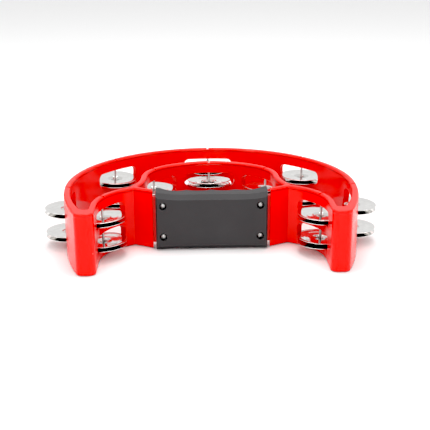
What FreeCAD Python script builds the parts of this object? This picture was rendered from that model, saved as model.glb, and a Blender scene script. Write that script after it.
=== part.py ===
import FreeCAD, Part
import math
import os
import re
import Sketcher
from FreeCAD import Placement, Rotation, Vector

# Half-moon tambourine: a moulded crescent frame with ten jingle stations on two rows,
# a clamped two-shell grip and forty loose jingles. Millimetres, +Z up, lying on its rim.
# Plan values are measured from the centre of the outer rim's circle, Y away from the player.
# The part's own origin is the centre of the bottom of its bounding box.

SIZE = {
    # frame: outer wall
    "frame_height": 54.2,
    "rim_radius": 131.0,
    "rim_inner_radius": 125.8,
    "cheek_radius": 221.0,
    "cheek_inner_radius": 177.0,
    "rim_round": 1.6,
    # frame: horns
    "nose_depth": 87.0,
    "nose_inner_x": 98.0,
    "nose_corner": 6.0,
    "pocket_depth": 73.0,
    "pocket_inner_x": 103.2,
    "inner_corner": 3.0,
    # frame: scooped front walls beside the grip
    "scoop_radius": 50.0,
    "scoop_depth": 58.5,
    "scoop_wall": 5.2,
    "crease_x": 69.0,
    "crease_round": 1.2,
    "panel_end_x": 52.2,
    "panel_end_depth": 22.5,
    "panel_wall": 5.3,
    # frame: inner wall around the hand hole
    "crown_radius": 75.8,
    "crown_y": 1.7,
    "shoulder_radius": 45.0,
    "shoulder_angle": 38.0,
    "flank_radius": 75.7,
    "inner_wall": 5.3,
    # frame: web that the grip shells clamp
    "web_front_depth": 21.5,
    "web_rear_depth": 17.0,
    "web_low": 5.8,
    "web_high": 48.4,
    # jingle stations: slots, pin bores and rim grooves
    "rim_mid_radius": 128.4,
    "outer_step": 46.7,
    "inner_side_angle": 55.0,
    "front_angle": 64.7,
    "slot_low_floor": 8.95,
    "slot_row_pitch": 21.6,
    "slot_height": 12.7,
    "slot_half_length": 24.5,
    "slot_corner": 5.0,
    "slot_round": 0.7,
    "slot_cut": 24.0,
    "groove_half_width": 1.15,
    "groove_depth": 1.2,
    "pin_radius": 1.0,
    "pin_bottom": 1.0,
    # jingles
    "jingle_radius": 21.4,
    "jingle_sheet": 0.5,
    "jingle_rise": 1.6,
    "jingle_hole": 2.4,
    "cup_floor_radius": 6.3,
    "cup_brim_radius": 7.6,
    "cup_depth": 0.6,
    "ring_step_radius": 14.0,
    "ring_step_width": 0.5,
    "ring_step_low": 0.98,
    "ring_step_high": 1.15,
    "jingle_edge_round": 0.27,
    "jingle_gap": 0.1,
    "jingle_floor_gap": 0.55,
    # grip
    "grip_half_length": 49.5,
    "grip_face_depth": 29.0,
    "grip_parting_depth": 19.25,
    "grip_rear_depth": 9.0,
    "grip_end_low": 0.3,
    "grip_middle_low": 1.2,
    "grip_end_high": 53.6,
    "grip_middle_high": 51.2,
    "grip_waist_half": 27.0,
    "grip_bevel": 4.0,
    "grip_end_bevel": 1.4,
    "grip_rear_round": 1.5,
    "finger_pitch": 22.0,
    "finger_radius": 20.0,
    "finger_depth": 13.0,
    "finger_crest_round": 4.0,
    "web_gap": 0.3,
    "web_face_gap": 0.1,
    "shell_cavity_depth": 26.0,
    "shell_cavity_half": 46.0,
    "shell_cavity_low": 6.4,
    "shell_cavity_high": 46.2,
    "core_half": 37.0,
    "core_low": 9.0,
    "core_high": 45.0,
    "core_depth": 15.2,
    # grip screws
    "screw_x": 43.0,
    "screw_half_pitch": 14.3,
    "screw_middle": 27.15,
    "screw_seat_depth": 25.6,
    "screw_recess_radius": 3.6,
    "screw_clearance_radius": 1.75,
    "screw_boss_radius": 5.0,
    "screw_pilot_radius": 1.25,
    "screw_pilot_end": 10.6,
    "screw_shank_radius": 1.45,
    "screw_length": 14.4,
    "screw_tip": 0.8,
    "screw_tip_radius": 0.7,
    "screw_head_radius": 2.6,
    "screw_head_side": 0.9,
    "screw_head_height": 1.9,
    "screw_head_dome": 2.9,
    "screw_head_flat": 0.8,
    "cross_half_width": 0.4,
    "cross_reach": 1.5,
    "cross_depth": 1.1,
}

OUTER_STATIONS = ["outer_left", "outer_back_left", "outer_back", "outer_back_right", "outer_right"]
ROWS = ["low", "high"]
DISCS = ["bottom", "top"]
FINGERS = 4
TOUCH = 0.01  # places closer than this are the same place
TERM = re.compile(r"([+-]?)([a-z]\w*)")


def polar(radius, degrees):
    """Plan point at a bearing measured from +Y towards +X."""
    bearing = math.radians(degrees)
    return radius * math.sin(bearing), radius * math.cos(bearing)


def circles_meet(first, first_radius, second, second_radius):
    """Both points where two plan circles cross."""
    dx = second[0] - first[0]
    dy = second[1] - first[1]
    span = math.hypot(dx, dy)
    along = (first_radius ** 2 - second_radius ** 2 + span ** 2) / (2 * span)
    across = math.sqrt(first_radius ** 2 - along ** 2)
    middle = (first[0] + along * dx / span, first[1] + along * dy / span)
    offset = (across * dy / span, -across * dx / span)
    return [(middle[0] + s * offset[0], middle[1] + s * offset[1]) for s in (1, -1)]


def add_frame_points(size):
    """Corners of the frame's plan, right half."""
    nose_run = math.sqrt(size["cheek_radius"] ** 2 - size["nose_depth"] ** 2)
    size["nose_outer_x"] = size["rim_radius"] - size["cheek_radius"] + nose_run
    pocket_run = math.sqrt(size["cheek_inner_radius"] ** 2 - size["pocket_depth"] ** 2)
    size["pocket_outer_x"] = size["rim_inner_radius"] - size["cheek_inner_radius"] + pocket_run

    scoop_centre = (size["nose_inner_x"] - size["scoop_radius"], -size["scoop_depth"])
    size["scoop_rear_radius"] = size["scoop_radius"] + size["scoop_wall"]
    crease_run = size["crease_x"] - scoop_centre[0]
    crease_rise = math.sqrt(size["scoop_radius"] ** 2 - crease_run ** 2)
    size["crease_depth"] = size["scoop_depth"] - crease_rise

    shoulder_x, shoulder_y = polar(size["crown_radius"] - size["shoulder_radius"], size["shoulder_angle"])
    shoulder_y += size["crown_y"]
    size["shoulder_y"] = shoulder_y
    size["flank_top_x"] = shoulder_x + size["shoulder_radius"]
    flank_centre = (size["flank_top_x"] + size["flank_radius"], shoulder_y)
    crown_x, crown_y = polar(size["crown_radius"], size["shoulder_angle"])
    size["crown_end_x"] = crown_x
    size["crown_end_y"] = crown_y + size["crown_y"]
    size["crown_top_y"] = size["crown_radius"] + size["crown_y"]
    fork = circles_meet(scoop_centre, size["scoop_rear_radius"], flank_centre, size["flank_radius"])
    size["fork_x"], fork_y = min(fork)
    size["fork_depth"] = -fork_y

    wall = size["inner_wall"]
    size["hole_crown_radius"] = size["crown_radius"] - wall
    size["hole_shoulder_radius"] = size["shoulder_radius"] - wall
    size["hole_flank_radius"] = size["flank_radius"] + wall
    size["hole_flank_top_x"] = size["flank_top_x"] - wall
    size["hole_top_y"] = size["crown_top_y"] - wall
    hole_x, hole_y = polar(size["hole_crown_radius"], size["shoulder_angle"])
    size["hole_crown_end_x"] = hole_x
    size["hole_crown_end_y"] = hole_y + size["crown_y"]

    panel = Vector(size["panel_end_x"] - size["crease_x"], size["crease_depth"] - size["panel_end_depth"], 0)
    panel.normalize()
    rear = Vector(size["panel_end_x"], -size["panel_end_depth"], 0)
    rear += Vector(panel.y, -panel.x, 0) * size["panel_wall"]
    to_web = (-size["web_rear_depth"] - rear.y) / panel.y
    size["web_end_x"] = rear.x + to_web * panel.x
    offset = Vector(rear.x - flank_centre[0], rear.y - flank_centre[1], 0)
    along = offset.dot(panel)
    reach = math.sqrt(along ** 2 - offset.dot(offset) + size["hole_flank_radius"] ** 2)
    corner = rear - panel * (along - reach)
    size["hole_corner_x"] = corner.x
    size["hole_corner_depth"] = -corner.y
    return scoop_centre, (shoulder_x, shoulder_y)


def add_station_points(size, scoop_centre, shoulder_centre):
    """Plan place of every pin, and the turn of its slots about Z."""
    stations = {}
    bearing = -2 * size["outer_step"]
    for name in OUTER_STATIONS:
        stations[name] = polar(size["rim_mid_radius"], bearing) + (bearing,)
        bearing += size["outer_step"]
    crown_middle = size["crown_top_y"] - size["inner_wall"] / 2
    stations["inner_back"] = (0.0, crown_middle, 0.0)
    side_x, side_y = polar(size["shoulder_radius"] - size["inner_wall"] / 2, size["inner_side_angle"])
    front_x, front_y = polar(size["scoop_radius"] + size["scoop_wall"] / 2, size["front_angle"])
    side = (side_x + shoulder_centre[0], side_y + shoulder_centre[1], size["inner_side_angle"])
    front = (front_x + scoop_centre[0], front_y + scoop_centre[1], size["front_angle"])
    for end, sign in (("left", -1), ("right", 1)):
        stations["inner_" + end] = (sign * side[0], side[1], sign * side[2])
        stations["front_" + end] = (sign * front[0], front[1], sign * front[2])
    for name, (x, y, bearing) in stations.items():
        size[name + "_x"] = x
        size[name + "_y"] = y
        size[name + "_turn"] = -bearing
    size["outer_span"] = 4 * size["outer_step"]
    return list(stations)


def add_jingle_heights(size):
    """Rest heights of the jingles, and the place of their rounded edge."""
    sagitta = size["jingle_edge_round"] - math.sqrt(
        size["jingle_edge_round"] ** 2 - (size["jingle_sheet"] / 2) ** 2)
    size["jingle_edge_radius"] = size["jingle_radius"] - sagitta
    thickness = size["jingle_rise"] + size["jingle_sheet"]
    size["low_bottom_z"] = size["slot_low_floor"] + size["jingle_floor_gap"] + thickness
    size["low_top_z"] = size["low_bottom_z"] + size["jingle_gap"]
    for disc in DISCS:
        size["high_" + disc + "_z"] = size["low_" + disc + "_z"] + size["slot_row_pitch"]


def add_grip_curves(size):
    """Radii of the shallow arcs between the waist and the ends of the grip."""
    run = size["grip_half_length"] - size["grip_waist_half"]
    for edge in ("low", "high"):
        drop = abs(size["grip_end_" + edge] - size["grip_middle_" + edge])
        size["grip_waist_" + edge + "_radius"] = (run ** 2 + drop ** 2) / (2 * drop)
    size["finger_span"] = (FINGERS - 1) * size["finger_pitch"]
    size["last_finger_x"] = size["finger_span"] / 2


def complete(size):
    """Add every value that follows from the driving dimensions."""
    scoop_centre, shoulder_centre = add_frame_points(size)
    stations = add_station_points(size, scoop_centre, shoulder_centre)
    add_jingle_heights(size)
    add_grip_curves(size)
    size["slot_high_floor"] = size["slot_low_floor"] + size["slot_row_pitch"]
    size["pin_length"] = size["frame_height"] - size["groove_depth"] - size["pin_bottom"]
    rear_reach = size["rim_mid_radius"] + size["jingle_radius"]
    size["origin_y"] = (rear_reach - size["nose_depth"]) / 2
    return stations


def number(text):
    """Value of a sum of named sizes, such as "slot_low_floor+slot_corner"."""
    return sum((-1 if sign == "-" else 1) * SIZE[name] for sign, name in TERM.findall(text))


def formula(text):
    """The same sum as an expression on the sheet."""
    return TERM.sub(lambda term: term.group(1) + "Dimensions." + term.group(2), text)


def make_sheet(doc):
    sheet = doc.addObject("Spreadsheet::Sheet", "Dimensions")
    for row, (name, value) in enumerate(SIZE.items(), start=1):
        sheet.set("A%d" % row, name)
        sheet.set("B%d" % row, "%.6f" % value)
        sheet.setAlias("B%d" % row, name)
    return sheet


def bind(item, path, text):
    item.setExpression(path, formula(text))


def make_body(doc, label):
    body = doc.addObject("PartDesign::Body", label)
    body.Label = label
    return body


def origin_part(body, role):
    return next(part for part in body.Origin.OriginFeatures if part.Role == role)


def add_sketch(body, name, plane, offset="", turn="", shift=""):
    """Sketch on an origin plane, moved by offset along its normal and shift along its X."""
    sketch = body.newObject("Sketcher::SketchObject", name)
    sketch.AttachmentSupport = (origin_part(body, plane), [""])
    sketch.MapMode = "FlatFace"
    sketch.AttachmentOffset = Placement(Vector(0, 0, 0), Rotation(Vector(0, 1, 0), 1 if turn else 0))
    if offset:
        bind(sketch, "AttachmentOffset.Base.z", offset)
    if shift:
        bind(sketch, "AttachmentOffset.Base.x", shift)
    if turn:
        bind(sketch, "AttachmentOffset.Rotation.Angle", turn)
    return sketch


def arc_between(start, end, radius, side):
    """Shorter arc from start to end, its centre to the left or right of the way along."""
    chord = end - start
    left = Vector(-chord.y, chord.x, 0).normalize()
    height = math.sqrt(radius ** 2 - chord.Length ** 2 / 4)
    centre = (start + end) * 0.5 + left * (height if side == "left" else -height)
    first, last = (start, end) if side == "left" else (end, start)
    angles = [math.atan2(point.y - centre.y, point.x - centre.x) for point in (first, last)]
    if angles[1] < angles[0]:
        angles[1] += 2 * math.pi
    return Part.ArcOfCircle(Part.Circle(centre, Vector(0, 0, 1), radius), *angles)


def bind_coordinate(sketch, kind, axis, geometry, end, text):
    """Hold one coordinate of a point: on an axis where text is empty, else at a size."""
    if not text:
        sketch.addConstraint(Sketcher.Constraint("PointOnObject", geometry, end, axis))
        return
    index = sketch.addConstraint(Sketcher.Constraint(kind, -1, 1, geometry, end, number(text)))
    bind(sketch, "Constraints[%d]" % index, text)


def add_outline(sketch, corners):
    """Closed outline. A corner is (x, y), or (x, y, radius, side) where an arc leaves it."""
    points = [Vector(number(corner[0]), number(corner[1]), 0) for corner in corners]
    ends = []
    for index, corner in enumerate(corners):
        start = points[index]
        end = points[(index + 1) % len(points)]
        if len(corner) == 2:
            geometry = sketch.addGeometry(Part.LineSegment(start, end), False)
            ends.append((geometry, 1, 2))
            continue
        arc = arc_between(start, end, number(corner[2]), corner[3])
        geometry = sketch.addGeometry(arc, False)
        ends.append((geometry, 1, 2) if corner[3] == "left" else (geometry, 2, 1))
        radius = sketch.addConstraint(Sketcher.Constraint("Radius", geometry, number(corner[2])))
        bind(sketch, "Constraints[%d]" % radius, corner[2])
    for index, corner in enumerate(corners):
        geometry, begin, _ = ends[index]
        previous, _, finish = ends[index - 1]
        sketch.addConstraint(Sketcher.Constraint("Coincident", previous, finish, geometry, begin))
        bind_coordinate(sketch, "DistanceX", -2, geometry, begin, corner[0])
        bind_coordinate(sketch, "DistanceY", -1, geometry, begin, corner[1])


def add_rectangle(sketch, left, right, bottom, top):
    add_outline(sketch, [(left, bottom), (right, bottom), (right, top), (left, top)])


def add_circle(sketch, x, y, radius):
    place = Vector(number(x), number(y), 0)
    circle = sketch.addGeometry(Part.Circle(place, Vector(0, 0, 1), number(radius)), False)
    bound = sketch.addConstraint(Sketcher.Constraint("Radius", circle, number(radius)))
    bind(sketch, "Constraints[%d]" % bound, radius)
    bind_coordinate(sketch, "DistanceX", -2, circle, 3, x)
    bind_coordinate(sketch, "DistanceY", -1, circle, 3, y)


def add_feature(body, kind, name, sketch, length="", **settings):
    feature = body.newObject("PartDesign::" + kind, name)
    feature.Profile = sketch
    if length:
        bind(feature, "Length", length)
    for setting, value in settings.items():
        setattr(feature, setting, value)
    sketch.Visibility = False
    return feature


def add_dressing(body, kind, name, size_property, text, wanted):
    """Fillet or chamfer every edge of the body so far that wanted() accepts."""
    body.Document.recompute()
    base = body.Tip
    names = ["Edge%d" % (i + 1) for i, edge in enumerate(base.Shape.Edges) if wanted(edge)]
    feature = body.newObject("PartDesign::" + kind, name)
    feature.Base = (base, names)
    bind(feature, size_property, text)
    return feature


def is_upright(edge):
    box = edge.BoundBox
    is_line = edge.Curve.TypeId == "Part::GeomLine"
    return is_line and box.ZLength > TOUCH and max(box.XLength, box.YLength) < TOUCH


def stands_at(edge, places):
    """True for an upright edge at one of the plan places, on either side."""
    if not is_upright(edge):
        return False
    foot = edge.Vertexes[0].Point
    return any(math.hypot(abs(foot.x) - x, foot.y - y) < TOUCH for x, y in places)


def frame_outline():
    """Right half of the crescent's plan, from the back of the rim to the front and back."""
    return [
        ("", "rim_radius", "rim_radius", "right"),
        ("rim_radius", "", "cheek_radius", "right"),
        ("nose_outer_x", "-nose_depth"),
        ("nose_inner_x", "-nose_depth"),
        ("nose_inner_x", "-scoop_depth", "scoop_radius", "left"),
        ("crease_x", "-crease_depth"),
        ("panel_end_x", "-panel_end_depth"),
        ("panel_end_x", "-web_front_depth"),
        ("", "-web_front_depth"),
        ("", "-web_rear_depth"),
        ("web_end_x", "-web_rear_depth"),
        ("hole_corner_x", "-hole_corner_depth", "hole_flank_radius", "right"),
        ("hole_flank_top_x", "shoulder_y", "hole_shoulder_radius", "left"),
        ("hole_crown_end_x", "hole_crown_end_y", "hole_crown_radius", "left"),
        ("", "hole_top_y"),
        ("", "crown_top_y", "crown_radius", "right"),
        ("crown_end_x", "crown_end_y", "shoulder_radius", "right"),
        ("flank_top_x", "shoulder_y", "flank_radius", "left"),
        ("fork_x", "-fork_depth", "scoop_rear_radius", "right"),
        ("pocket_inner_x", "-scoop_depth"),
        ("pocket_inner_x", "-pocket_depth"),
        ("pocket_outer_x", "-pocket_depth", "cheek_inner_radius", "left"),
        ("rim_inner_radius", "", "rim_inner_radius", "left"),
        ("", "rim_inner_radius"),
    ]


def slot_outline(floor):
    """Slot with rounded corners, centred on the pin."""
    low = floor
    high = floor + "+slot_height"
    return [
        ("-slot_half_length+slot_corner", low),
        ("slot_half_length-slot_corner", low, "slot_corner", "left"),
        ("slot_half_length", low + "+slot_corner"),
        ("slot_half_length", high + "-slot_corner", "slot_corner", "left"),
        ("slot_half_length-slot_corner", high),
        ("-slot_half_length+slot_corner", high, "slot_corner", "left"),
        ("-slot_half_length", high + "-slot_corner"),
        ("-slot_half_length", low + "+slot_corner", "slot_corner", "left"),
    ]


def cut_station(body, station):
    """Two slots, the rim groove and the pin bore of one station."""
    slots = add_sketch(body, station + "_slots", "XZ_Plane",
                       offset="-" + station + "_y", turn=station + "_turn", shift=station + "_x")
    add_outline(slots, slot_outline("slot_low_floor"))
    add_outline(slots, slot_outline("slot_high_floor"))
    add_rectangle(slots, "-groove_half_width", "groove_half_width",
                  "frame_height-groove_depth", "frame_height+groove_depth")
    slot_cut = add_feature(body, "Pocket", station + "_slot_cut", slots, "slot_cut",
                           SideType="Symmetric")
    bore = add_sketch(body, station + "_bore", "XY_Plane", offset="pin_bottom")
    add_circle(bore, station + "_x", station + "_y", "pin_radius")
    bore_cut = add_feature(body, "Pocket", station + "_bore_cut", bore, "frame_height", Reversed=True)
    return [slot_cut, bore_cut]


def mirror(body, name, originals):
    """Mirror the given features to the right side, or the whole body where none is given."""
    body.Document.recompute()
    feature = body.newObject("PartDesign::Mirrored", name)
    feature.MirrorPlane = (origin_part(body, "YZ_Plane"), [""])
    if originals:
        feature.Originals = originals
    else:
        feature.TransformMode = "Whole shape"
    body.Tip = feature


def rim_edge(edge):
    """True for the level edges round the bottom and the top of the walls."""
    height = edge.BoundBox.ZMin
    at_rim = min(abs(height), abs(height - SIZE["frame_height"])) < TOUCH
    return at_rim and edge.BoundBox.ZLength < TOUCH


def slot_edge(edge, pins):
    """True for the edges where a slot breaks through the faces of its wall."""
    box = edge.BoundBox
    for row in ROWS:
        floor = SIZE["slot_%s_floor" % row]
        if box.ZMin < floor - TOUCH or box.ZMax > floor + SIZE["slot_height"] + TOUCH:
            continue
        middle = edge.valueAt((edge.FirstParameter + edge.LastParameter) / 2)
        at_pin = any(math.hypot(middle.x - x, middle.y - y) < 2 * SIZE["pin_radius"] for x, y in pins)
        across_wall = edge.Curve.TypeId == "Part::GeomLine" and box.ZLength < TOUCH
        return not at_pin and not across_wall
    return False


def make_frame(doc, stations):
    body = make_body(doc, "frame")
    plan = add_sketch(body, "frame_plan", "XY_Plane")
    add_outline(plan, frame_outline())
    add_feature(body, "Pad", "frame_half", plan, "frame_height")
    mirror(body, "frame_whole", [])

    noses = [(SIZE["nose_outer_x"], -SIZE["nose_depth"]), (SIZE["nose_inner_x"], -SIZE["nose_depth"])]
    add_dressing(body, "Fillet", "nose_corners", "Radius", "nose_corner",
                 lambda edge: stands_at(edge, noses))
    inner = [(SIZE["pocket_outer_x"], -SIZE["pocket_depth"]),
             (SIZE["pocket_inner_x"], -SIZE["pocket_depth"]),
             (SIZE["fork_x"], -SIZE["fork_depth"]),
             (SIZE["hole_corner_x"], -SIZE["hole_corner_depth"])]
    add_dressing(body, "Fillet", "inner_corners", "Radius", "inner_corner",
                 lambda edge: stands_at(edge, inner))
    crease = [(SIZE["crease_x"], -SIZE["crease_depth"])]
    add_dressing(body, "Fillet", "creases", "Radius", "crease_round",
                 lambda edge: stands_at(edge, crease))

    web_cut = add_sketch(body, "web_edges", "XZ_Plane", offset="web_front_depth+grip_bevel")
    add_rectangle(web_cut, "-panel_end_x", "panel_end_x", "-web_gap", "web_low")
    add_rectangle(web_cut, "-panel_end_x", "panel_end_x", "web_high", "frame_height+web_gap")
    add_feature(body, "Pocket", "web_trim", web_cut,
                "web_front_depth-web_rear_depth+grip_bevel+grip_bevel")
    add_dressing(body, "Fillet", "rim_rounding", "Radius", "rim_round", rim_edge)

    outer = cut_station(body, "outer_left")
    ring = body.newObject("PartDesign::PolarPattern", "outer_stations")
    ring.Originals = outer
    ring.Axis = (origin_part(body, "Z_Axis"), [""])
    ring.Reversed = True
    ring.Occurrences = len(OUTER_STATIONS)
    bind(ring, "Angle", "outer_span")
    body.Tip = ring
    cut_station(body, "inner_back")
    mirror(body, "inner_side_stations", cut_station(body, "inner_left"))
    mirror(body, "front_stations", cut_station(body, "front_left"))

    pins = [(SIZE[name + "_x"], SIZE[name + "_y"]) for name in stations]
    add_dressing(body, "Fillet", "slot_rounding", "Radius", "slot_round",
                 lambda edge: slot_edge(edge, pins))

    holes = add_sketch(body, "web_holes", "XZ_Plane", offset="web_front_depth+grip_bevel")
    add_screw_circles(holes, "screw_clearance_radius")
    add_feature(body, "Pocket", "web_hole_cut", holes, "grip_parting_depth")
    return body


def add_screw_circles(sketch, radius):
    for x in ("-screw_x", "screw_x"):
        for z in ("screw_middle-screw_half_pitch", "screw_middle+screw_half_pitch"):
            add_circle(sketch, x, z, radius)


def grip_outline():
    """Front view of the grip, waisted between its full-height ends."""
    end, waist = "grip_half_length", "grip_waist_half"
    low_arc, high_arc = "grip_waist_low_radius", "grip_waist_high_radius"
    return [
        ("-" + end, "grip_end_low", low_arc, "right"),
        ("-" + waist, "grip_middle_low"),
        (waist, "grip_middle_low", low_arc, "right"),
        (end, "grip_end_low"),
        (end, "grip_end_high", high_arc, "right"),
        (waist, "grip_middle_high"),
        ("-" + waist, "grip_middle_high", high_arc, "right"),
        ("-" + end, "grip_end_high"),
    ]


def edge_at_depth(edge, depth):
    return edge.BoundBox.YLength < TOUCH and abs(edge.BoundBox.YMin + depth) < TOUCH


def finger_crest(edge):
    """True for the ridges that the finger grooves leave between and beside them."""
    if not is_upright(edge):
        return False
    foot = edge.Vertexes[0].Point
    return abs(foot.x) < SIZE["grip_half_length"] - TOUCH and foot.y > -SIZE["finger_depth"]


def cut_web_recess(body, length, rearwards):
    """Clearance for the web, open at both ends of the shell."""
    recess = add_sketch(body, body.Label + "_recess", "XZ_Plane", offset="grip_parting_depth")
    add_rectangle(recess, "-grip_half_length-web_gap", "grip_half_length+web_gap",
                  "web_low-web_gap", "web_high+web_gap")
    add_feature(body, "Pocket", body.Label + "_recess_cut", recess, length, Reversed=not rearwards)


def make_grip_front(doc):
    body = make_body(doc, "grip_front_shell")
    face = add_sketch(body, "front_face", "XZ_Plane", offset="grip_face_depth")
    add_outline(face, grip_outline())
    add_feature(body, "Pad", "front_block", face, "grip_face_depth-grip_parting_depth", Reversed=True)
    depth = SIZE["grip_face_depth"]
    add_dressing(body, "Chamfer", "end_bevels", "Size", "grip_end_bevel",
                 lambda edge: is_upright(edge) and edge_at_depth(edge, depth))
    add_dressing(body, "Chamfer", "face_bevels", "Size", "grip_bevel",
                 lambda edge: edge_at_depth(edge, depth) and not is_upright(edge))

    cut_web_recess(body, "web_front_depth-grip_parting_depth+web_face_gap", rearwards=False)
    cavity = add_sketch(body, "front_cavity", "XZ_Plane", offset="grip_parting_depth")
    add_rectangle(cavity, "-shell_cavity_half", "shell_cavity_half",
                  "shell_cavity_low", "shell_cavity_high")
    add_feature(body, "Pocket", "front_cavity_cut", cavity,
                "shell_cavity_depth-grip_parting_depth", Reversed=True)
    bosses = add_sketch(body, "front_bosses", "XZ_Plane", offset="web_front_depth+web_face_gap")
    add_screw_circles(bosses, "screw_boss_radius")
    add_feature(body, "Pad", "front_boss_pads", bosses, "shell_cavity_depth-web_front_depth")
    clearance = add_sketch(body, "front_clearance", "XZ_Plane", offset="grip_parting_depth")
    add_screw_circles(clearance, "screw_clearance_radius")
    add_feature(body, "Pocket", "front_clearance_cut", clearance, "grip_face_depth", Reversed=True)
    seats = add_sketch(body, "front_seats", "XZ_Plane", offset="screw_seat_depth")
    add_screw_circles(seats, "screw_recess_radius")
    add_feature(body, "Pocket", "front_seat_cut", seats, "grip_bevel", Reversed=True)
    return body


def make_grip_rear(doc):
    body = make_body(doc, "grip_rear_shell")
    face = add_sketch(body, "rear_parting", "XZ_Plane", offset="grip_parting_depth")
    add_outline(face, grip_outline())
    add_feature(body, "Pad", "rear_block", face, "grip_parting_depth-grip_rear_depth", Reversed=True)

    groove = add_sketch(body, "finger_groove", "XY_Plane")
    add_circle(groove, "-last_finger_x", "finger_radius-finger_depth", "finger_radius")
    cut = add_feature(body, "Pocket", "finger_groove_cut", groove,
                      SideType="Symmetric", Type="ThroughAll")
    fingers = body.newObject("PartDesign::LinearPattern", "finger_grooves")
    fingers.Originals = [cut]
    fingers.Direction = (origin_part(body, "X_Axis"), [""])
    fingers.Occurrences = FINGERS
    bind(fingers, "Length", "finger_span")
    body.Tip = fingers
    add_dressing(body, "Fillet", "finger_crests", "Radius", "finger_crest_round", finger_crest)
    rear = -SIZE["finger_depth"] - TOUCH
    add_dressing(body, "Fillet", "rear_rounding", "Radius", "grip_rear_round",
                 lambda edge: edge.BoundBox.YMin > rear and not is_upright(edge))

    cut_web_recess(body, "grip_parting_depth-web_rear_depth+web_face_gap", rearwards=True)
    core = add_sketch(body, "rear_core", "XZ_Plane", offset="grip_parting_depth")
    add_rectangle(core, "-core_half", "core_half", "core_low", "core_high")
    add_feature(body, "Pocket", "rear_core_cut", core, "grip_parting_depth-core_depth")
    pilots = add_sketch(body, "rear_pilots", "XZ_Plane", offset="grip_parting_depth")
    add_screw_circles(pilots, "screw_pilot_radius")
    add_feature(body, "Pocket", "rear_pilot_cut", pilots, "grip_parting_depth-screw_pilot_end")
    return body


def make_grip_screws(doc):
    """Four pan-head screws about their own Z, head up, then turned to face the front."""
    body = make_body(doc, "grip_screws")
    body.AllowCompound = True
    profile = add_sketch(body, "screw_profile", "XZ_Plane")
    add_outline(profile, [
        ("", "-screw_length"),
        ("screw_tip_radius", "-screw_length"),
        ("screw_shank_radius", "-screw_length+screw_tip"),
        ("screw_shank_radius", ""),
        ("screw_head_radius", ""),
        ("screw_head_radius", "screw_head_side", "screw_head_dome", "left"),
        ("screw_head_flat", "screw_head_height"),
        ("", "screw_head_height"),
    ])
    turned = add_feature(body, "Revolution", "screw_turned", profile)
    turned.ReferenceAxis = (profile, ["V_Axis"])
    cross = add_sketch(body, "screw_cross", "XY_Plane", offset="screw_head_height")
    near, far = "cross_half_width", "cross_reach"
    add_outline(cross, [
        (near, "-" + far), (near, "-" + near), (far, "-" + near), (far, near),
        (near, near), (near, far), ("-" + near, far), ("-" + near, near),
        ("-" + far, near), ("-" + far, "-" + near), ("-" + near, "-" + near), ("-" + near, "-" + far),
    ])
    add_feature(body, "Pocket", "screw_cross_cut", cross, "cross_depth")
    for name, axis, length in (("screw_pair", "X_Axis", "screw_x+screw_x"),
                               ("screw_set", "Y_Axis", "screw_half_pitch+screw_half_pitch")):
        doc.recompute()
        copies = body.newObject("PartDesign::LinearPattern", name)
        copies.TransformMode = "Whole shape"
        copies.Direction = (origin_part(body, axis), [""])
        copies.Occurrences = 2
        bind(copies, "Length", length)
        body.Tip = copies
    body.Placement = Placement(Vector(0, 0, 0), Rotation(Vector(1, 0, 0), 90))
    bind(body, "Placement.Base.x", "-screw_x")
    bind(body, "Placement.Base.y", "-screw_seat_depth-origin_y")
    bind(body, "Placement.Base.z", "screw_middle-screw_half_pitch")
    return body


def make_pin(doc, station):
    pin = doc.addObject("Part::Cylinder", "pin_" + station)
    pin.Label = "pin_" + station
    bind(pin, "Radius", "pin_radius")
    bind(pin, "Height", "pin_length")
    bind(pin, "Placement.Base.x", station + "_x")
    bind(pin, "Placement.Base.y", station + "_y-origin_y")
    bind(pin, "Placement.Base.z", "pin_bottom")
    return pin


def jingle_outline():
    """Section of a dished jingle, opening upwards, from its hole out to its edge and back."""
    return [
        ("jingle_hole", ""),
        ("cup_floor_radius", ""),
        ("cup_brim_radius", "cup_depth"),
        ("ring_step_radius", "ring_step_low"),
        ("ring_step_radius+ring_step_width", "ring_step_high"),
        ("jingle_edge_radius", "jingle_rise", "jingle_edge_round", "left"),
        ("jingle_edge_radius", "jingle_rise+jingle_sheet"),
        ("ring_step_radius+ring_step_width", "ring_step_high+jingle_sheet"),
        ("ring_step_radius", "ring_step_low+jingle_sheet"),
        ("cup_brim_radius", "cup_depth+jingle_sheet"),
        ("cup_floor_radius", "jingle_sheet"),
        ("jingle_hole", "jingle_sheet"),
    ]


def make_jingle(doc, station, row, disc):
    """Each pair sits back to back: the top disc opens upwards, the bottom one downwards."""
    name = "_".join(("jingle", station, row, disc))
    body = make_body(doc, name)
    profile = add_sketch(body, name + "_section", "XZ_Plane")
    add_outline(profile, jingle_outline())
    pressed = add_feature(body, "Revolution", name + "_pressed", profile)
    pressed.ReferenceAxis = (profile, ["V_Axis"])
    if disc == "bottom":
        body.Placement = Placement(Vector(0, 0, 0), Rotation(Vector(1, 0, 0), 180))
    bind(body, "Placement.Base.x", station + "_x")
    bind(body, "Placement.Base.y", station + "_y-origin_y")
    bind(body, "Placement.Base.z", row + "_" + disc + "_z")
    return body


def check(doc, nodes):
    failed = [item.Name for item in doc.Objects if {"Invalid", "Error"} & set(item.State)]
    if failed:
        raise RuntimeError("failed objects: " + ", ".join(failed))
    for node in nodes:
        if node.Shape.isNull() or not node.Shape.isValid() or not node.Shape.Solids:
            raise RuntimeError("bad shape: " + node.Label)


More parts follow.
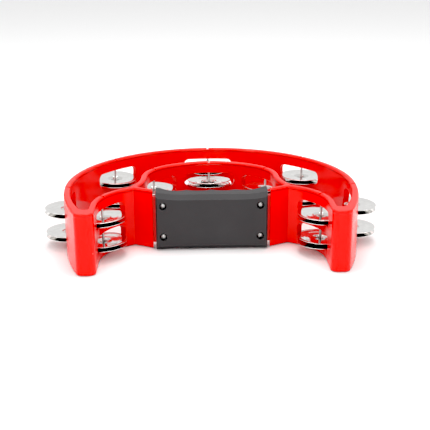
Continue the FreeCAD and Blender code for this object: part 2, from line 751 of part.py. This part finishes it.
def main():
    stations = complete(SIZE)
    doc = FreeCAD.newDocument("tambourine")
    make_sheet(doc)
    doc.recompute()
    moulded = [make_frame(doc, stations), make_grip_front(doc), make_grip_rear(doc)]
    for body in moulded:
        bind(body, "Placement.Base.y", "-origin_y")
    nodes = moulded + [make_grip_screws(doc)]
    for station in stations:
        nodes.append(make_pin(doc, station))
        for row in ROWS:
            nodes += [make_jingle(doc, station, row, disc) for disc in DISCS]
    doc.recompute()
    check(doc, nodes)
    os.makedirs("parts", exist_ok=True)
    for node in nodes:
        node.Shape.exportStep(os.path.join("parts", node.Label + ".step"))
    print(len(nodes), "nodes written")


main()
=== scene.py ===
import math
import random

import bpy
from mathutils import Matrix, Vector


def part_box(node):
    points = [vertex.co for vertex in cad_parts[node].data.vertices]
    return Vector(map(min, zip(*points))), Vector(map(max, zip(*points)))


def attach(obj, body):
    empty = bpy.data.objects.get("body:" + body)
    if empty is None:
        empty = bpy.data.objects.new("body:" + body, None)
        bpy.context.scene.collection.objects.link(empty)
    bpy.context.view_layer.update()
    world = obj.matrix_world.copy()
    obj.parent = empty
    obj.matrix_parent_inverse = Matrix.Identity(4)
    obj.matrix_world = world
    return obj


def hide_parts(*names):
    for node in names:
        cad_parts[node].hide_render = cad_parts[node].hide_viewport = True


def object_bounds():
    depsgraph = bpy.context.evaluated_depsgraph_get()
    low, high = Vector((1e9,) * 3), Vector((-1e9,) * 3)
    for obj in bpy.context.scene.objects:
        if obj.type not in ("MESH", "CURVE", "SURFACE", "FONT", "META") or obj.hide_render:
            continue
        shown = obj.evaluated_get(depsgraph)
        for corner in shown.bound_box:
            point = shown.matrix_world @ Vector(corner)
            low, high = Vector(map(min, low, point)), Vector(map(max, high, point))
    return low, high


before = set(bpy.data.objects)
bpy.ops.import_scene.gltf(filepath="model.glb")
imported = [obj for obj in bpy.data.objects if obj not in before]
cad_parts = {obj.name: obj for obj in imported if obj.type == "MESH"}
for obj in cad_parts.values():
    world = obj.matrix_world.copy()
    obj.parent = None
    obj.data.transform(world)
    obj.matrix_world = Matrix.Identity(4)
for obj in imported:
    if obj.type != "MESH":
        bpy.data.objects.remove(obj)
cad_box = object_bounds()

# Half-moon tambourine lying on a white table, in soft studio light.
# Metres, in the frame of the CAD model: +Z up, -Y towards the player.
MM = 0.001

# the crescent's outer radius: its centre is this far in front of the frame's back
RIM_RADIUS = 131.0

# camera: its place from the centre of the rim at floor level in metres, its angles in degrees
CAMERA_PLACE = Vector((-19.6, -783.4, 284.1)) * MM
CAMERA_YAW = 1.70
CAMERA_PITCH = 18.40
CAMERA_ROLL = -0.28
CAMERA_LENS = 75.5
CAMERA_SENSOR = 36.0
CAMERA_CLIP = (0.01, 50)

# softboxes aimed at the middle of the object: place, width and height in metres, power in watts
SOFTBOXES = {
    "overhead_softbox": ((0.0, 0.15, 1.4), (0.9, 0.75), 10.5),
    "front_softbox": ((0.0, -1.4, 1.5), (1.6, 0.8), 7.5),
    "left_softbox": ((-1.4, -0.6, 0.9), (0.6, 0.8), 3.5),
    "right_softbox": ((1.4, -0.6, 0.9), (0.6, 0.8), 3.5),
}
SKY_STRENGTH = 0.83
BLACK_LEVEL = 0.016
WHITE_LEVEL = 0.945
FLOOR_HALF = 6.0

# colours, linear
PAPER = {"dark": (0.90, 0.90, 0.90), "light": (0.93, 0.93, 0.93)}
RED = {
    "dark": (0.87, 0.0035, 0.001), "medium": (0.92, 0.005, 0.0015), "light": (0.95, 0.007, 0.002),
    "rubbed_and_highlit": (0.95, 0.035, 0.020), "painted_recess_shade": (0.28, 0.0, 0.002),
    "groove": (0.42, 0.0, 0.001), "dusty": (0.95, 0.52, 0.46),
}
RED_GLOSS_TINT = (1.0, 0.95, 0.88)
BLACK = {
    "dark": (0.022, 0.0200, 0.0215), "light": (0.028, 0.0258, 0.0275),
    "rubbed_and_highlit": (0.105, 0.102, 0.105), "speck": (0.46, 0.32, 0.30),
}
NICKEL = {
    "dark": (0.77, 0.76, 0.745), "light": (0.86, 0.855, 0.84),
    "cup": (0.70, 0.69, 0.67), "tarnished": (0.50, 0.47, 0.42),
}
ZINC = {"bright": (0.62, 0.62, 0.61), "oxidised": (0.45, 0.45, 0.44)}
WIRE = {"bright": (0.60, 0.59, 0.58), "oxidised": (0.36, 0.35, 0.34)}

# lip along the top of every red wall, in millimetres down from the top to the groove under it, and
# how strong the painted shade in that groove is
LIP_HEIGHT = 3.0
LIP_STEP = 0.6
PAINTED_GROOVE_SHADE_STRENGTH = 0.6

# width of the lighter band along each moulding's edges, which is rubbed wear and painted edge
# highlight, and how far the painted shade of the red one's recesses reaches, in millimetres
RED_EDGE_WIDTH = 0.5
BLACK_EDGE_WIDTH = 0.4
RECESS_REACH = 5.0
BEVEL_SAMPLES = 6
OCCLUSION_SAMPLES = 8
# cosine of the angle that rounding turns the surface by: no rubbed wear and painted highlight,
# then full rubbed wear and painted highlight
RUBBED_AND_HIGHLIT_COSINES = (0.995, 0.94)
# share of the surroundings that is open: no painted shade, then full painted shade
CLOSED_IN_SHARES = (0.55, 0.08)
# where a speck of dust ends and where it is full, as shares of its cell
RED_SPECK = (0.030, 0.018)
BLACK_SPECK = (0.034, 0.020)

# sockets of the Mix node that hold colours
MIX_FIRST, MIX_SECOND, MIX_RESULT = 6, 7, 2

# pressed jingle, in millimetres from its own axis and from the underside of its cup
JINGLE_SEGMENTS = 96
JINGLE_SHEET = 0.5
JINGLE_EDGE_STEPS = 6
JINGLE_WOBBLE = 0.02
JINGLE_UNDERSIDE = [
    (2.4, 0.0), (6.0, 0.0), (6.4, 0.03), (6.8, 0.20), (7.2, 0.46), (7.6, 0.58), (8.1, 0.62),
    (11.0, 0.80), (13.4, 0.96), (14.0, 1.01), (14.5, 1.07), (15.1, 1.12), (18.0, 1.34),
]
JINGLE_EDGE = (21.05, 1.6)
# radius of the cup's rim, on which a top jingle that is tipped further than its partner rests
CUP_RIM = 6.3
# radii where the cup's darker nickel ends and where it is full
CUP_FADE = (8.0, 6.4)

# bearing of each station from the centre of its wall's curve, in degrees from +Y towards +X
STATION_BEARINGS = {
    "outer_left": -93.4, "outer_back_left": -46.7, "outer_back": 0.0,
    "outer_back_right": 46.7, "outer_right": 93.4,
    "inner_back": 0.0, "inner_left": -55.0, "inner_right": 55.0,
    "front_left": -64.7, "front_right": 64.7,
}
# how far a pair tips across its wall, in degrees: positive lifts the side inside the curve
PAIR_TIPS = {
    "inner_back_high": 6.0, "front_left_high": 5.5, "front_left_low": 3.0,
    "front_right_high": 3.0, "front_right_low": 0.5, "inner_left_high": -2.0,
    "inner_right_high": 5.0, "outer_left_high": -1.0, "outer_right_high": 2.0,
    "outer_back_left_high": -3.0, "outer_back_right_high": 1.0,
}
# how much further the top jingle of a pair tips, in degrees
TOP_TIPS = {"front_right_low": 2.5}

SEED = 7


# ---------------------------------------------------------------- camera, light and floor

def add_camera():
    yaw, pitch, roll = (math.radians(a) for a in (CAMERA_YAW, CAMERA_PITCH, CAMERA_ROLL))
    forward = Vector((math.sin(yaw) * math.cos(pitch), math.cos(yaw) * math.cos(pitch),
                      -math.sin(pitch)))
    right = Vector((math.cos(yaw), -math.sin(yaw), 0))
    up = right.cross(forward)
    rolled_right = right * math.cos(roll) + up * math.sin(roll)
    rolled_up = up * math.cos(roll) - right * math.sin(roll)
    turn = Matrix((rolled_right, rolled_up, -forward)).transposed()
    data = bpy.data.cameras.new("camera")
    data.lens = CAMERA_LENS
    data.sensor_width = CAMERA_SENSOR
    data.clip_start, data.clip_end = CAMERA_CLIP
    camera = bpy.data.objects.new("camera", data)
    rim_centre = Vector((0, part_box("frame")[1].y - RIM_RADIUS * MM, 0))
    camera.matrix_world = Matrix.Translation(rim_centre + CAMERA_PLACE) @ turn.to_4x4()
    bpy.context.scene.collection.objects.link(camera)
    bpy.context.scene.camera = camera


def add_softbox(name, place, target, size, power):
    data = bpy.data.lights.new(name, "AREA")
    data.shape = "RECTANGLE"
    data.size, data.size_y = size
    data.energy = power
    light = bpy.data.objects.new(name, data)
    aim = (target - Vector(place)).to_track_quat("-Z", "Y")
    light.matrix_world = Matrix.Translation(place) @ aim.to_matrix().to_4x4()
    bpy.context.scene.collection.objects.link(light)


def add_lights():
    centre = (cad_box[0] + cad_box[1]) / 2
    for name, (place, size, power) in SOFTBOXES.items():
        add_softbox(name, place, centre, size, power)
    world = bpy.data.worlds.new("studio")
    world.use_nodes = True
    sky = world.node_tree.nodes["Background"]
    sky.inputs["Color"].default_value = (1, 1, 1, 1)
    sky.inputs["Strength"].default_value = SKY_STRENGTH
    bpy.context.scene.world = world


def set_contrast():
    settings = bpy.context.scene.view_settings
    settings.view_transform = "Standard"
    settings.look = "None"
    settings.use_curve_mapping = True
    settings.curve_mapping.black_level = (BLACK_LEVEL,) * 3
    settings.curve_mapping.white_level = (WHITE_LEVEL,) * 3
    settings.curve_mapping.update()


def add_floor():
    half = FLOOR_HALF
    mesh = bpy.data.meshes.new("floor")
    corners = [(-half, -half, 0), (half, -half, 0), (half, half, 0), (-half, half, 0)]
    mesh.from_pydata(corners, [], [(0, 1, 2, 3)])
    floor = bpy.data.objects.new("floor", mesh)
    bpy.context.scene.collection.objects.link(floor)
    paper = Shader("floor_paper")
    grain = paper.noise(scale=900, detail=4)
    paper.set("Base Color", paper.ramp(grain, (0.3, PAPER["dark"]), (0.7, PAPER["light"])))
    paper.set("Roughness", paper.levels(grain, (0.2, 0.55), (0.8, 0.7)))
    paper.set("Specular IOR Level", 0.2)
    paper.bump((grain, 0.1, 0.05 * MM))
    mesh.materials.append(paper.material)


# ---------------------------------------------------------------- materials

class Shader:
    """One node material. Texture scales are in features per metre, on the object's coordinates."""

    def __init__(self, name):
        self.material = bpy.data.materials.new(name)
        self.material.use_nodes = True
        self.tree = self.material.node_tree
        self.surface = self.tree.nodes["Principled BSDF"]
        self.place = self.node("TexCoord").outputs["Object"]

    def node(self, kind):
        return self.tree.nodes.new("ShaderNode" + kind)

    def plug(self, socket, value):
        """Links the socket to a value that is a socket too, and otherwise sets it."""
        if isinstance(value, bpy.types.NodeSocket):
            self.tree.links.new(value, socket)
        elif socket.type == "RGBA":
            socket.default_value = (*value, 1.0)
        else:
            socket.default_value = value

    def set(self, name, value):
        self.plug(self.surface.inputs[name], value)

    def feed(self, node, inputs):
        for name, value in inputs.items():
            self.plug(node.inputs[name], value)

    def along(self, axis):
        """The object's coordinate along one axis."""
        split = self.node("SeparateXYZ")
        self.feed(split, {"Vector": self.place})
        return split.outputs[axis]

    def radius(self):
        """Distance from the object's own upright axis."""
        squares = [self.math("POWER", self.along(axis), 2.0) for axis in ("X", "Y")]
        return self.math("SQRT", self.math("ADD", *squares), 0.0)

    def stretched(self, scale):
        """The object's coordinates, scaled by a different amount along each axis."""
        mapping = self.node("Mapping")
        self.feed(mapping, {"Vector": self.place, "Scale": scale})
        return mapping.outputs["Vector"]

    def noise(self, scale, detail=3.0, roughness=0.5, place=None):
        node = self.node("TexNoise")
        self.feed(node, {"Vector": place or self.place, "Scale": scale, "Detail": detail,
                         "Roughness": roughness})
        return node.outputs["Fac"]

    def rings(self, radius, scale, detail):
        """Noise that varies with the radius alone."""
        node = self.node("TexNoise")
        node.noise_dimensions = "1D"
        self.feed(node, {"W": radius, "Scale": scale, "Detail": detail})
        return node.outputs["Fac"]

    def cells(self, scale, feature="F1"):
        node = self.node("TexVoronoi")
        node.feature = feature
        self.feed(node, {"Vector": self.place, "Scale": scale})
        return node.outputs["Distance"]

    def ramp(self, value, *stops):
        """Colours by (value, colour) stops."""
        node = self.node("ValToRGB")
        while len(node.color_ramp.elements) < len(stops):
            node.color_ramp.elements.new(0.5)
        for element, (position, colour) in zip(node.color_ramp.elements, stops):
            element.position = position
            element.color = (*colour, 1.0)
        self.feed(node, {"Fac": value})
        return node.outputs["Color"]

    def levels(self, value, *stops):
        """Plain numbers by (value, number) stops."""
        return self.ramp(value, *((position, (level,) * 3) for position, level in stops))

    def mask(self, value, low, high):
        """0 below low and 1 above high, or the other way round where low is the larger."""
        node = self.node("MapRange")
        self.feed(node, {"Value": value, "From Min": low, "From Max": high})
        return node.outputs["Result"]

    def mix(self, factor, first, second):
        node = self.node("Mix")
        node.data_type = "RGBA"
        self.plug(node.inputs["Factor"], factor)
        self.plug(node.inputs[MIX_FIRST], first)
        self.plug(node.inputs[MIX_SECOND], second)
        return node.outputs[MIX_RESULT]

    def math(self, operation, first, second):
        node = self.node("Math")
        node.operation = operation
        self.plug(node.inputs[0], first)
        self.plug(node.inputs[1], second)
        return node.outputs["Value"]

    def edges(self, width):
        """Mask of a band of this width along every crisp edge."""
        rounded = self.node("Bevel")
        rounded.samples = BEVEL_SAMPLES
        rounded.inputs["Radius"].default_value = width
        product = self.node("VectorMath")
        product.operation = "DOT_PRODUCT"
        self.plug(product.inputs[0], self.node("NewGeometry").outputs["True Normal"])
        self.plug(product.inputs[1], rounded.outputs["Normal"])
        return self.mask(product.outputs["Value"], *RUBBED_AND_HIGHLIT_COSINES)

    def recess_shade(self, reach):
        """Mask of painted shade on the places that are closed in within this reach."""
        shade = self.node("AmbientOcclusion")
        shade.samples = OCCLUSION_SAMPLES
        shade.inputs["Distance"].default_value = reach
        return self.mask(shade.outputs["AO"], *CLOSED_IN_SHARES)

    def bump(self, *layers):
        """Stack of (height, strength, distance) layers, finest last."""
        normal = None
        for height, strength, distance in layers:
            node = self.node("Bump")
            self.feed(node, {"Height": height, "Strength": strength, "Distance": distance})
            if normal:
                self.plug(node.inputs["Normal"], normal)
            normal = node.outputs["Normal"]
        self.set("Normal", normal)


def red_plastic():
    """Glossy moulded plastic: flow marks, orange peel, hairline scratches, dust, a lipped top,
    painted shade in recesses and under the lip, and lighter edges that are rubbed wear and painted
    edge highlight.
    """
    shader = Shader("gloss_red_plastic")
    flow = shader.noise(scale=38, detail=5, roughness=0.55,
                        place=shader.stretched((1.0, 1.0, 0.35)))
    colour = shader.ramp(flow, (0.30, RED["dark"]), (0.55, RED["medium"]), (0.75, RED["light"]))
    # lighter band along the edges: rubbed wear and painted edge highlight
    colour = shader.mix(shader.edges(RED_EDGE_WIDTH * MM), colour, RED["rubbed_and_highlit"])
    # painted shade: places closed in by nearby surfaces are darkened towards a dim red
    colour = shader.mix(shader.recess_shade(RECESS_REACH * MM), colour, RED["painted_recess_shade"])
    # painted shade under the lip: the dark band runs from the foot of the lip up over two steps,
    # and is darkest between them
    groove_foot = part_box("frame")[1].z - LIP_HEIGHT * MM
    groove_middle = groove_foot + LIP_STEP * MM
    groove_top = groove_middle + LIP_STEP * MM
    height = shader.along("Z")
    lip = shader.mask(height, groove_foot, groove_middle)
    groove = shader.math("SUBTRACT", lip, shader.mask(height, groove_middle, groove_top))
    colour = shader.mix(shader.math("MULTIPLY", groove, PAINTED_GROOVE_SHADE_STRENGTH), colour, RED["groove"])
    dust = shader.mask(shader.cells(scale=85), *RED_SPECK)
    shader.set("Base Color", shader.mix(dust, colour, RED["dusty"]))
    gloss = shader.levels(shader.noise(scale=60, detail=4), (0.0, 0.141), (1.0, 0.292))
    shader.set("Roughness", shader.math("ADD", gloss, shader.math("MULTIPLY", dust, 0.35)))
    shader.set("IOR", 1.48)
    shader.set("Specular IOR Level", 0.30)
    shader.set("Specular Tint", RED_GLOSS_TINT)
    orange_peel = shader.noise(scale=420, detail=2)
    scratches = shader.noise(scale=520, detail=2, roughness=0.4,
                             place=shader.stretched((0.12, 1.0, 1.9)))
    shader.bump((lip, 1.0, LIP_STEP / 2 * MM), (flow, 0.10, 0.6 * MM),
                (orange_peel, 0.05, 0.1 * MM), (scratches, 0.04, 0.04 * MM))
    return shader.material


def black_plastic():
    """Matte moulded plastic: spark-eroded grain, lighter edges that are rubbed wear and painted
    edge highlight, and a few bright specks of lint.
    """
    shader = Shader("matte_black_plastic")
    grain = shader.noise(scale=1900, detail=4, roughness=0.7)
    patches = shader.noise(scale=45, detail=4, roughness=0.6)
    colour = shader.ramp(patches, (0.3, BLACK["dark"]), (0.7, BLACK["light"]))
    # lighter band along the edges: rubbed wear and painted edge highlight
    colour = shader.mix(shader.edges(BLACK_EDGE_WIDTH * MM), colour, BLACK["rubbed_and_highlit"])
    specks = shader.mask(shader.cells(scale=75), *BLACK_SPECK)
    shader.set("Base Color", shader.mix(specks, colour, BLACK["speck"]))
    shader.set("Roughness", shader.levels(grain, (0.25, 0.38), (0.75, 0.55)))
    shader.set("Specular IOR Level", 0.52)
    pits = shader.cells(scale=1500, feature="SMOOTH_F1")
    shader.bump((pits, 0.18, 0.08 * MM), (grain, 0.22, 0.06 * MM))
    return shader.material


def nickel():
    """Pressed nickel plate: turning rings, faint hammering, smears, tarnish and a darker cup."""
    shader = Shader("nickel_plate")
    radius = shader.radius()
    smears = shader.noise(scale=110, detail=4, roughness=0.6)
    tarnish = shader.mask(shader.noise(scale=260, detail=5, roughness=0.65), 0.56, 0.80)
    cup = shader.mask(radius, *(fade * MM for fade in CUP_FADE))
    colour = shader.ramp(smears, (0.3, NICKEL["dark"]), (0.7, NICKEL["light"]))
    colour = shader.mix(cup, colour, NICKEL["cup"])
    colour = shader.mix(shader.math("MULTIPLY", tarnish, 0.35), colour, NICKEL["tarnished"])
    shader.set("Base Color", colour)
    shader.set("Metallic", 1.0)
    shader.set("Roughness", shader.levels(smears, (0.30, 0.03), (0.70, 0.09)))
    hammering = shader.noise(scale=90, detail=2)
    turning = shader.rings(radius, scale=2600, detail=3)
    shader.bump((hammering, 0.12, 0.5 * MM), (turning, 0.05, 0.02 * MM))
    return shader.material


def drawn_steel(name, colours, smoothest, roughest):
    """Steel wire or screw: drawing marks along Z, with dark oxide in patches."""
    shader = Shader(name)
    marks = shader.noise(scale=700, detail=4, roughness=0.6,
                         place=shader.stretched((1.0, 1.0, 0.12)))
    oxide = shader.noise(scale=320, detail=4, roughness=0.6)
    colour = shader.ramp(oxide, (0.35, colours["bright"]), (0.75, colours["oxidised"]))
    shader.set("Base Color", colour)
    shader.set("Metallic", 1.0)
    shader.set("Roughness", shader.levels(marks, (0.3, smoothest), (0.7, roughest)))
    shader.bump((marks, 0.25, 0.05 * MM))
    return shader.material


def dress(names, material):
    """Gives CAD nodes a material."""
    for name in names:
        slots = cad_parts[name].data.materials
        slots.clear()
        slots.append(material)


# ---------------------------------------------------------------- jingles

def jingle_section():
    """Closed section: out along the underside, round the edge, back along the top."""
    edge_radius, edge_height = JINGLE_EDGE
    half = JINGLE_SHEET / 2
    section = list(JINGLE_UNDERSIDE)
    for step in range(JINGLE_EDGE_STEPS + 1):
        angle = math.pi * (step / JINGLE_EDGE_STEPS - 0.5)
        section.append((edge_radius + half * math.cos(angle),
                        edge_height + half + half * math.sin(angle)))
    section += [(r, z + JINGLE_SHEET) for r, z in reversed(JINGLE_UNDERSIDE)]
    return section


def jingle_mesh(name, section, placed, bend):
    """The section turned about its axis, bent a little towards two sides, and placed."""
    verts, faces = [], []
    count = len(section)
    for step in range(JINGLE_SEGMENTS):
        angle = 2 * math.pi * step / JINGLE_SEGMENTS
        sag = math.cos(2 * angle + bend) - 1
        for r, z in section:
            rise = z + JINGLE_WOBBLE * (r / JINGLE_EDGE[0]) ** 2 * sag
            verts.append(placed @ (Vector((r * math.cos(angle), r * math.sin(angle), rise)) * MM))
        here, there = step * count, (step + 1) % JINGLE_SEGMENTS * count
        for k in range(count):
            after = (k + 1) % count
            faces.append((here + k, there + k, there + after, here + after))
    mesh = bpy.data.meshes.new(name)
    mesh.from_pydata(verts, [], faces)
    mesh.shade_smooth()
    return mesh


def make_jingle(node, material, section, rng):
    """A pressed disc for one CAD node, turned and bent a little differently each time."""
    pair = node[len("jingle_"):node.rindex("_")]
    station = pair[:pair.rindex("_")]
    is_top = node.endswith("top")
    turn, bend = rng.uniform(0, 2 * math.pi), rng.uniform(0, 2 * math.pi)

    bearing = math.radians(STATION_BEARINGS[station])
    along_wall = Vector((math.cos(bearing), -math.sin(bearing), 0))
    extra_tip = TOP_TIPS.get(pair, 0.0) if is_top else 0.0
    tip = Matrix.Rotation(-math.radians(PAIR_TIPS.get(pair, 0.0) + extra_tip), 4, along_wall)
    lift = Matrix.Translation((0, 0, CUP_RIM * math.sin(math.radians(extra_tip)) * MM))
    flip = Matrix.Identity(4) if is_top else Matrix.Rotation(math.pi, 4, "X")
    placed = lift @ tip @ flip @ Matrix.Rotation(turn, 4, "Z")

    mesh = jingle_mesh("pressed_" + node, section, placed, bend)
    mesh.materials.append(material)
    piece = bpy.data.objects.new("pressed_" + node, mesh)
    bpy.context.scene.collection.objects.link(piece)
    # the two jingles of a pair touch at the top of the lower one, which is the foot of the upper
    low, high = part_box(node)
    centre = (low + high) / 2
    piece.matrix_world = Matrix.Translation((centre.x, centre.y, low.z if is_top else high.z))
    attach(piece, node)
    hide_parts(node)


def make_jingles():
    rng = random.Random(SEED)
    material = nickel()
    section = jingle_section()
    for node in sorted(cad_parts):
        if node.startswith("jingle_"):
            make_jingle(node, material, section, rng)


def main():
    add_camera()
    add_lights()
    set_contrast()
    add_floor()
    dress(["frame"], red_plastic())
    dress(["grip_front_shell", "grip_rear_shell"], black_plastic())
    dress(["grip_screws"], drawn_steel("zinc_screw", ZINC, smoothest=0.26, roughest=0.42))
    pins = [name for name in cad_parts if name.startswith("pin_")]
    dress(pins, drawn_steel("drawn_pin_wire", WIRE, smoothest=0.25, roughest=0.45))
    make_jingles()


main()
